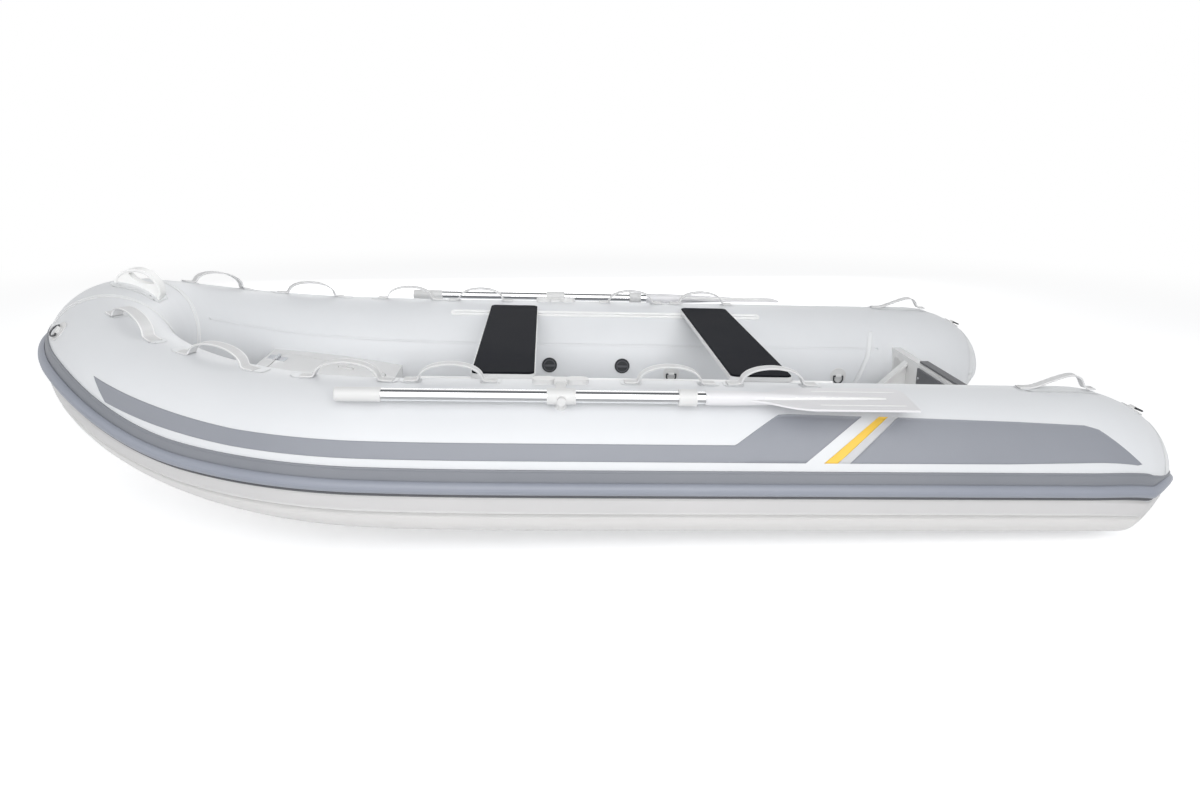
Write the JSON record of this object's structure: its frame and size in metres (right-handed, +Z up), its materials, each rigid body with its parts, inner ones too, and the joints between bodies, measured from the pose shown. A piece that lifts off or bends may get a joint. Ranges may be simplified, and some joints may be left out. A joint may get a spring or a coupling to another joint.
{
  "type": "inflatable boat with rigid hull",
  "caption": "Open inflatable tender with a rigid V hull, side and bow tubes, bow locker, sliding bench seats, grab straps and stowed oars on pivots.",
  "frame": {"origin": "on the centreline at mid length, on the waterline", "axes": "+X towards the bow, +Y to port, +Z up"},
  "size_m": [3.6026, 1.8488, 0.8436],
  "materials": {
    "tube_fabric": "smooth coated fabric, pale grey",
    "strake_rubber": "satin moulded rubber, dark grey",
    "bumper_rubber": "satin moulded rubber, blue grey",
    "gelcoat": "glossy moulded gelcoat, pale grey",
    "deck_coat": "non-slip gelcoat, light grey",
    "pad_plastic": "ribbed moulded plastic, dark grey",
    "plate": "plain blank plate",
    "white_plastic": "moulded plastic, white",
    "webbing": "flat woven webbing, off white",
    "seat_board": "moulded board, light grey edge",
    "seat_cover": "coated fabric, near black",
    "black_plastic": "moulded plastic, near black",
    "steel": "polished stainless",
    "aluminium": "anodised tube, satin"
  },
  "bodies": {
    "boat": {"port_tube": "tube_fabric", "bow_tube": "tube_fabric", "starboard_tube": "tube_fabric", "port_strake_band": "strake_rubber", "bow_strake_band": "strake_rubber", "starboard_strake_band": "strake_rubber", "port_strake_bumper": "bumper_rubber", "bow_strake_bumper": "bumper_rubber", "starboard_strake_bumper": "bumper_rubber", "hull": "gelcoat", "deck": "deck_coat", "transom": "gelcoat", "transom_outer_pad": "pad_plastic", "transom_inner_pad": "pad_plastic", "transom_knees": "gelcoat", "transom_blank_plate": "plate", "transom_patches": "tube_fabric", "bow_locker": "gelcoat", "locker_hinges": "steel", "seat_rails": "white_plastic", "port_grab_straps": "webbing", "starboard_grab_straps": "webbing", "stern_lifting_straps": "webbing", "bow_handle": "white_plastic", "valves": "black_plastic", "ring_patches": "white_plastic", "bow_rings": "steel", "stern_rings": "black_plastic", "inner_rings": "black_plastic", "oarlock_bases": "white_plastic", "oarlock_pins": "steel"},
    "locker_lid_body": {"locker_lid": "gelcoat", "lid_hinge_leaves": "steel", "lid_pulls": "steel"},
    "fore_seat_body": {"fore_seat": "seat_board", "fore_seat_pad": "seat_cover"},
    "aft_seat_body": {"aft_seat": "seat_board", "aft_seat_pad": "seat_cover"},
    "port_oar": {"port_oar_shaft": "aluminium", "port_oar_grip": "white_plastic", "port_oar_fittings": "white_plastic", "port_oar_blade": "white_plastic"},
    "starboard_oar": {"starboard_oar_shaft": "aluminium", "starboard_oar_grip": "white_plastic", "starboard_oar_fittings": "white_plastic", "starboard_oar_blade": "white_plastic"}
  },
  "joints": [
    {"name": "locker_lid_hinge", "type": "hinge", "parent": "boat", "child": "locker_lid_body", "pos_m": [1.12318, 0, 0.39671], "axis": [0, 1, 0], "range_deg": [0, 110]},
    {"name": "fore_seat_slide", "type": "slide", "parent": "boat", "child": "fore_seat_body", "axis": [0.9996, 0, 0.0268], "range_m": [-0.29, 0.155]},
    {"name": "aft_seat_slide", "type": "slide", "parent": "boat", "child": "aft_seat_body", "axis": [0.9996, 0, 0.0268], "range_m": [-0.135, 0.29]},
    {"name": "port_oar_swing", "type": "hinge", "parent": "boat", "child": "port_oar", "pos_m": [0.069, 0.825, 0.50835], "axis": [0.0225, -0.5448, -0.8383], "range_deg": [0, 110]},
    {"name": "starboard_oar_swing", "type": "hinge", "parent": "boat", "child": "starboard_oar", "pos_m": [0.069, -0.825, 0.50835], "axis": [-0.0225, -0.5448, 0.8383], "range_deg": [0, 110]}
  ]
}
